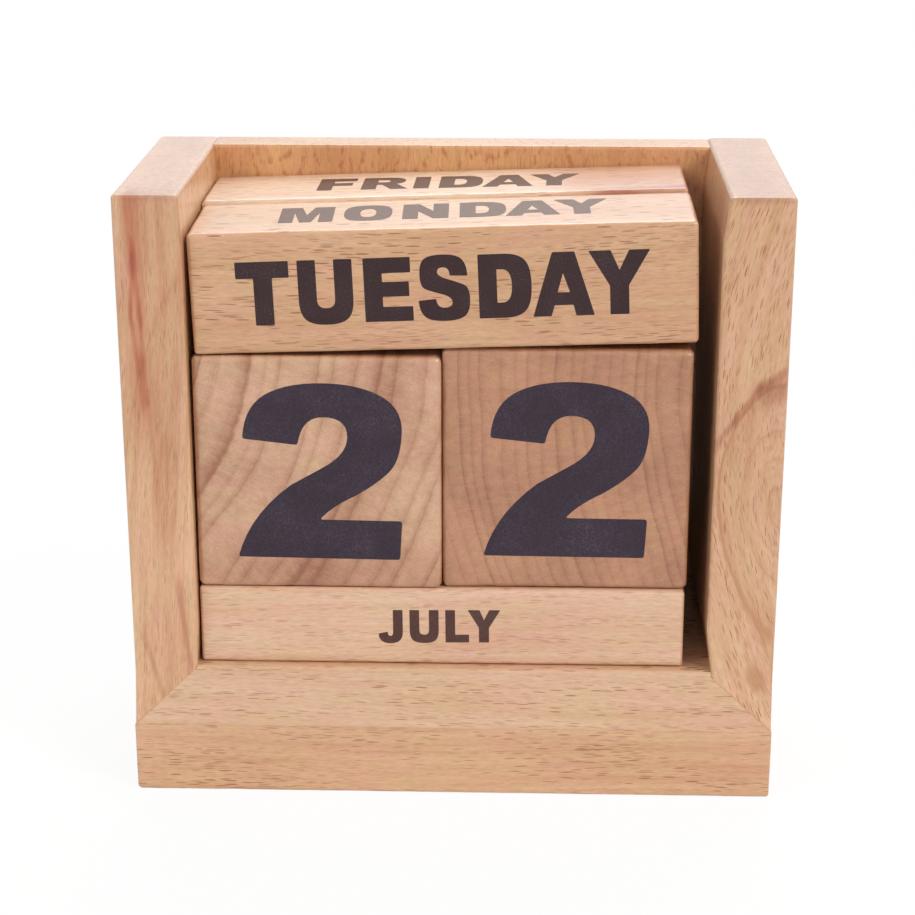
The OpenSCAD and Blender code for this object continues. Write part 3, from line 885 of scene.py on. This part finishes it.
RIGHT_STAINS = (
    ((49.9, -29, 73), (53.2, -29, 78), (0.9, 6, 2.5), 0.5, BROWN),
    ((53.2, -29, 78), (57.5, -29, 84), (0.9, 6, 2.4), 0.65, BROWN),
    ((57.5, -29, 84), (62.6, -29, 87.6), (1.0, 6, 3.2), 0.6, BROWN),
    ((58.5, -29, 83), (63.0, -29, 84), (2.0, 6, 4.5), 0.5, BROWN),
    ((56, -29, 76), (56, -29, 64), (14, 30, 18), 0.15, HEART_AND_SHADE),
    # Greyer top face: duller end grain, partly painted sheen
    ((56, -40, 121), (56, 40, 121), (14, 14, 3), 1.1, DULL_AND_SHEEN_RIGHT))
# The back panel's greyer top: duller end grain, partly painted sheen
PANEL_DULL_AND_SHEEN = (((-50, 27, 121), (50, 27, 121), (14, 14, 3), 1.0, DULL_AND_SHEEN_BACK),)
MONTH_STAINS = (((44, -27, 34), (4, -27, 34), (20, 12, 12), 0.25, HEART_AND_SHADE),)
LEFT_CUBE_STAINS = (((-46, -27, 44), (-4, -27, 46), (12, 12, 10), 0.5, HEART_AND_SHADE),)
FRONT_WEEKDAY_STAINS = (
    ((-44, -27, 92), (44, -27, 94), (10, 12, 11), 0.3, HEART_AND_SHADE),
    ((44, -27, 106), (10, -27, 105), (22, 12, 14), 0.2, HEART_AND_SHADE),
    ((46, -16, 115), (20, -16, 114), (22, 16, 7), 0.5, HEART_AND_SHADE))
# Painted shade on the rear weekday bar's top: a dark strip along its front edge, in the groove
# between the two bars, and a darker, redder right end
REAR_WEEKDAY_SHADE = (
    ((29, -3, 115.6), (46, -1, 116.2), (6, 3, 3), 1.0, BROWN),
    ((48, 8, 116), (28, 8, 116), (18, 26, 10), 1.0, HEART_AND_SHADE),
    ((48, 8, 116), (32, 8, 116), (14, 22, 8), 0.12, BROWN))

# Each piece's place in the log, the way its grain runs, its colours (pale wood, deep wood, rays)
# and what sets its grain apart
plinth_wood = saw_board(
    "plinth board", (0, 150, 20), (1, 0, 0.012), ("#d6ad89", "#c08b62", "#915c2c"),
    offset=(11, 40, 7), log_radius=170, ring_depth=0.25, flecks=0.9)
base_wood = saw_board(
    "base board", (0, 130, 45), (1, 0, -0.012), ("#d9b698", "#c99975", "#986432"),
    offset=(71, 3, 60), log_radius=160, flecks=0.9)
left_wood = saw_board(
    "left side board", (-55, 62, 0), (0.035, 0.02, 1), ("#e6bf9b", "#ca956c", "#94592c"),
    swell=((-56, -29, 66), (6, 40, 28), 3.5), tints=LEFT_STAINS, offset=(5, 9, 33),
    log_radius=95, ring_width=3.0, ring_depth=0.55, wander=12, streaks=0.6, flecks=0.5,
    fleck_length=0.9)
right_wood = saw_board(
    "right side board", (56, 95, 0), (0, 0, 1), ("#dcb18e", "#bb865c", "#a0622e"),
    bow=0.0036, bow_at=75, swell=((61, -29, 60), (9, 40, 20), 8), tints=RIGHT_STAINS,
    offset=(31, 23, 3), log_radius=125, ring_width=2.0, ring_depth=0.8, wander=8, streaks=0.4,
    flecks=1.0, fleck_length=0.85)
panel_wood = saw_board(
    "back panel", (10, -60, 0), (0, 0, 1), ("#d8a46f", "#bc7f4e", "#a4562a"),
    tints=PANEL_DULL_AND_SHEEN, offset=(1, 77, 13), log_radius=85, ring_width=3, ring_depth=0.25,
    streaks=0.25, mottle=0.6, flecks=0.4, fleck_length=1.2, blotches=0.6)
# Their edges are tinted red-brown: painted shade, the reddish contact shade under and between the
# bars
month_woods = [saw_board(
    "month bar " + word, (0, y, z), (1, 0, tilt), ("#e2c1a6", "#d2a27f", "#a8713c"),
    tints=MONTH_STAINS, edge_colour="#b0683c", offset=(seed, 5 * seed, 60), log_radius=130,
    ring_width=4, fleck_length=0.9)
    for word, y, z, tilt, seed in (("front", 90, 60, 0.02, 13), ("middle", 120, -40, 0, 29),
                                   ("rear", -60, 130, -0.01, 43))]
# The cube's edges are painted paler: painted highlight where the rounded edges catch the light
left_cube_wood = saw_board(
    "left cube", (-116, 0, 103), (0, 1, 0), ("#d8ad8e", "#97603e", "#d8b090"),
    tints=LEFT_CUBE_STAINS, edge_colour="#c89b7c", offset=(2, 8, 5), log_radius=100,
    ring_width=4.2, ring_depth=0.75, ring_softness=0.8, band_radius=107, band_width=6,
    band_depth=0.35, wander=5, streaks=0.25, flecks=0.2, fleck_depth=4.0)
# Its edges too are painted paler: painted highlight where the rounded edges catch the light
right_cube_wood = saw_board(
    "right cube", (130, 0, 83), (0, 1, 0), ("#c08b68", "#8f5a3a", "#c89c7c"),
    edge_colour="#cfa588", offset=(19, 4, 15), log_radius=110, ring_width=2.6, ring_depth=0.6,
    ring_softness=0.6, wander=4, streaks=0.3, mottle=0.4, flecks=0.2, fleck_depth=4.0)
weekday_woods = [saw_board(
    "weekday bar " + word, (0, y, z), (1, 0, tilt), colours, tints=tints,
    offset=(seed, 2 * seed, 30), log_radius=140, flecks=1.0, fleck_length=1.1)
    for word, y, z, tilt, seed, colours, tints in (
        ("front", 120, 108, 0.03, 3, ("#dab18d", "#c28d62", "#8c5828"), FRONT_WEEKDAY_STAINS),
        # The rear bar's tints are painted shade on its top
        ("rear", 110, 60, 0.02, 91, ("#e8ceb6", "#d8ad8b", "#9c6838"), REAR_WEEKDAY_SHADE))]


def keep(piece, node, body, wear, seed):
    """Wears a piece's edges and puts it in its node's place."""
    mark_edges(piece, wear, seed)
    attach(piece, body)
    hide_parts(node)


# Frame
keep(cut_block("plinth_board", *block_at("plinth"), plinth_wood, 1, BOARD_EDGE_R, PLINTH_TOP_R),
     "plinth", "frame", BOARD_WEAR, 1)
keep(side_board("side_board_left", LEFT_X, 1, LEFT_T, LEFT_TOP, FLARE_LEFT, EASE_LEFT,
                LEAN_LEFT, left_wood),
     "left_side", "frame", BOARD_WEAR, 2)
keep(side_board("side_board_right", RIGHT_X, -1, RIGHT_T, RIGHT_TOP, FLARE_RIGHT, EASE_RIGHT,
                LEAN_RIGHT, right_wood),
     "right_side", "frame", BOARD_WEAR, 3)


def base_left(z):
    """Where the base board ends at the left: on the mitre, and then on the side's inner face."""
    u = -FLARE_LEFT + (z - PLINTH_TOP) * (LEFT_T + FLARE_LEFT) / BASE_T
    return LEFT_X + min(u, LEFT_T - EASE_LEFT)


def base_right(z):
    """The same at the right."""
    u = -FLARE_RIGHT + (z - PLINTH_TOP) * (RIGHT_T + FLARE_RIGHT) / BASE_T
    return RIGHT_X - min(u, RIGHT_T - EASE_RIGHT)


# Steps over a rounded edge, as how far it is from each of the two faces
arc = [math.pi / 2 * s / EDGE_ROWS for s in range(EDGE_ROWS + 1)]
edge = [(BOARD_EDGE_R * (1 - math.cos(a)), BOARD_EDGE_R * (1 - math.sin(a))) for a in arc]
foot_y = FRONT_Y - FLARE_FRONT
base_profile = (
    [(BACK_Y, PLINTH_TOP)]
    + [(BACK_Y + (foot_y - BACK_Y) * k / UNDERSIDE_ROWS, PLINTH_TOP)
       for k in range(1, UNDERSIDE_ROWS)]
    + [(foot_y + FLARE_FRONT * k / FOOT_ROWS, PLINTH_TOP + FOOT_H * k / FOOT_ROWS)
       for k in range(FOOT_ROWS + 1)]
    + [(FRONT_Y, FOOT_TOP + ROW_OVER_FOOT)]
    + [(FRONT_Y + back, FLOOR_Z - down) for back, down in edge]
    + [(y, FLOOR_Z) for y in runs(FRONT_Y + BOARD_EDGE_R, BACK_Y, FACE_STEP)]
    + [(BACK_Y, FLOOR_Z)]
    + [(BACK_Y, z) for z in runs(PLINTH_TOP, FLOOR_Z, FACE_STEP)[::-1]])
keep(across(base_profile, base_left, base_right, "floor_board", base_wood),
     "base_board", "frame", BOARD_WEAR, 4)

panel_profile = (
    [(BACK_Y, FLOOR_Z)]
    + [(y, FLOOR_Z) for y in runs(PANEL_Y, BACK_Y, FACE_STEP)[::-1]]
    + [(PANEL_Y, FLOOR_Z)]
    + [(PANEL_Y, z) for z in runs(FLOOR_Z, LEFT_TOP - BOARD_EDGE_R, FACE_STEP)]
    + [(PANEL_Y + back, LEFT_TOP - down) for back, down in edge]
    + [(y, LEFT_TOP) for y in runs(PANEL_Y + BOARD_EDGE_R, BACK_Y - BOARD_EDGE_R, FACE_STEP)]
    + [(BACK_Y - back, LEFT_TOP - down) for back, down in edge[::-1]]
    + [(BACK_Y, z) for z in runs(FLOOR_Z, LEFT_TOP - BOARD_EDGE_R, FACE_STEP)[::-1]])
keep(across(panel_profile,
            lambda z: (LEFT_X + LEFT_T - ease_at(z, LEFT_TOP, EASE_LEFT)
                       - lean_at(z, LEFT_TOP, LEAN_LEFT)),
            lambda z: (RIGHT_X - RIGHT_T + ease_at(z, RIGHT_TOP, EASE_RIGHT)
                       + lean_at(z, RIGHT_TOP, LEAN_RIGHT)),
            "rear_panel", panel_wood),
     "back_panel", "frame", BOARD_WEAR, 5)

# Blocks, each with what is printed on it
INK_ON_BARS = ("#2b1114", "#46363b", "#c8966a")
weekday_inks = (mix_ink("on the front weekday bar", *INK_ON_BARS),
                mix_ink("on the rear weekday bar", *INK_ON_BARS, 1.22))
month_ink = mix_ink("on month bars", "#4c2c26", "#5d4a45", "#c8966a")
cube_ink = mix_ink("on cubes", "#2b1b29", "#473f50", "#b98a6c")


def build_block(node, low, size, wood, seed, radius, slot, wear, words, ink, skew=0.0, lean=0.0):
    """A block and its print. words holds, by the face's name, what set_word takes."""
    keep(cut_block(node + "_block", low, size, wood, seed, radius, radius, skew, lean),
         node, node, wear, seed)
    faces = faces_of_block(low, size, skew, lean)
    film = print_block("print_" + node,
                       [(set_word(*word), *faces[face]) for face, word in words.items()], ink)
    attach(film, node)


def plain(names, height):
    """Words for the faces of a block that are out of sight, straight and in the middle."""
    return {face: (text, height) for face, text in names.items()}


months = (
    ("month_bar_front", {"front": ("JULY", 6.8, 23.4, 0.6, 0.1, (-0.59, -0.32, -0.08, -0.23))}
     | plain({"top": "AUGUST", "back": "MAY", "under": "JUNE"}, 6.8)),
    ("month_bar_middle", plain({"front": "SEPTEMBER", "top": "OCTOBER", "back": "NOVEMBER",
                                "under": "DECEMBER"}, 6.8)),
    ("month_bar_rear", plain({"front": "JANUARY", "top": "FEBRUARY", "back": "MARCH",
                              "under": "APRIL"}, 6.8)))
for number, (node, words) in enumerate(months):
    build_block(node, *block_at(node), month_woods[number], 10 + number, MONTH_EDGE_R,
                "beech_bar", MONTH_WEAR, words, month_ink)

cubes = (
    ("number_cube_left", left_cube_wood, {"front": ("2", 35.3, 31.5, -0.7, 0.53, (0.42,))}
     | plain({"top": "0", "back": "4", "under": "1", "left": "3", "right": "5"}, 35.0)),
    ("number_cube_right", right_cube_wood, {"front": ("2", 35.2, 31.2, -0.4, 0.16, (0.12,))}
     | plain({"top": "1", "back": "7", "under": "0", "left": "8", "right": "6"}, 35.0)))
for number, (node, cube_wood, words) in enumerate(cubes):
    build_block(node, *block_at(node), cube_wood, 20 + number, CUBE_EDGE_R, "beech_cube",
                CUBE_WEAR, words, cube_ink)

# Name, height, how far out of square, front, room at the left, words
weekdays = (
    ("weekday_bar_front", 23.2, 0.5, -27.3, 0.958,
     {"front": ("TUESDAY", 12.2, 77.3, 0.44, 0.26, (0.05, 0.21, 0.35, 0.32, 0.39, 0.18, -0.25)),
      "top": ("MONDAY", 11.8, 61.9, 1.3, 1.7, (-0.17, 0.35, 0.93, 1.24, 0.72, 0.3))}
     | plain({"back": "SUNDAY", "under": "WEDNESDAY"}, 12.0)),
    ("weekday_bar_rear", 24.3, 0.1, -3.1, 0.658,
     {"top": ("FRIDAY", 10.9, 51.8, -1.2, 0.29, (0.42, 0.73, 0.88, 1.17, 0.88, 0.6))}
     | plain({"front": "SATURDAY", "back": "THURSDAY"}, 11.5)))
for number, (node, height, skew, y, way_in, words) in enumerate(weekdays):
    # The bars lie on the inner top edge of the right cube, which is the taller one
    x = LEFT_X + LEFT_T + way_in
    low = (x, y, cube_high[2] + WEEKDAY_GAP + (x - cube_low[0]) * math.tan(WEEKDAY_LEAN))
    size = (WEEKDAY_L, WEEKDAY_D, height)
    build_block(node, low, size, weekday_woods[number], 30 + number, WEEKDAY_EDGE_R, "beech_bar",
                WEEKDAY_WEAR, words, weekday_inks[number], skew, WEEKDAY_LEAN)


# ---- studio

# What the camera, gloss and glass see of the world is plain white; the rest is lit softly
world = bpy.data.worlds.new("studio")
bpy.context.scene.world = world
world.use_nodes = True
world.node_tree.nodes.clear()
add = partial(add_node, world.node_tree)
path = add("LightPath", out=None)
look = add("Math MAXIMUM", path["Is Camera Ray"], path["Is Glossy Ray"])
look = add("Math MAXIMUM", look, path["Is Transmission Ray"])
ambient = add("Background", {"Color": (1, 1, 1, 1), "Strength": 0.5})
white = add("Background", {"Color": (1, 1, 1, 1), "Strength": 1.0})
add("OutputWorld", add("MixShader", look, ambient, white), out=None)

# White paper that fades out at its rim and shines a little to the camera
floor_mesh = bpy.data.meshes.new("studio_floor")
FLOOR_REACH = 0.3
floor_mesh.from_pydata([(x * FLOOR_REACH, y * FLOOR_REACH, 0)
                        for x, y in ((-1, -1), (1, -1), (1, 1), (-1, 1))], [], [(0, 1, 2, 3)])
floor = put("studio_floor", floor_mesh)
paper, add = new_material("white background paper")
sheet = add("BsdfDiffuse", {"Color": (0.97, 0.97, 0.97, 1)})
spot = add("TexCoord", out="Object")
far = add("VectorMath LENGTH", spot, out="Value")
far = add("MapRange", far, 0.12, 0.3)
clear = add("BsdfTransparent")
eye = add("LightPath", out="Is Camera Ray")
eye = add("Math MULTIPLY", eye, 0.9)
glow = add("Emission", (1, 1, 1, 1), 1.0)
sheet = add("MixShader", eye, sheet, glow)
sheet = add("MixShader", far, sheet, clear)
add("OutputMaterial", sheet, out=None)
floor_mesh.materials.append(paper)


def lamp(name, spot, aim, size, power, colour):
    """A round softbox that looks at a point."""
    light = bpy.data.lights.new(name, "AREA")
    light.shape = "DISK"
    light.size = size
    light.energy = power
    light.color = srgb(colour)[:3]
    holder = put(name, light)
    holder.location = spot
    holder.rotation_euler = (Vector(aim) - Vector(spot)).to_track_quat("-Z", "Y").to_euler()


lamp("key_softbox", (0.85, -0.7, 0.9), (0, 0, 0.06), 0.6, 9.3, "#fffaf5")
lamp("fill_softbox", (-0.75, -0.6, 0.7), (0, 0, 0.06), 0.5, 3.0, "#ffffff")
lamp("back_softbox", (0.06, 0.62, 0.75), (0, 0, 0.1), 0.7, 4.1, "#ffffff")

camera = bpy.data.cameras.new("camera")
camera.sensor_width = 36
camera.lens = 89.17
viewer = put("camera", camera)
viewer.location = (0.01369, -0.43634, 0.2055)
viewer.rotation_euler = (math.radians(90 - 18.421), 0, math.radians(1.799))
bpy.context.scene.camera = viewer
bpy.context.scene.view_settings.view_transform = "Standard"
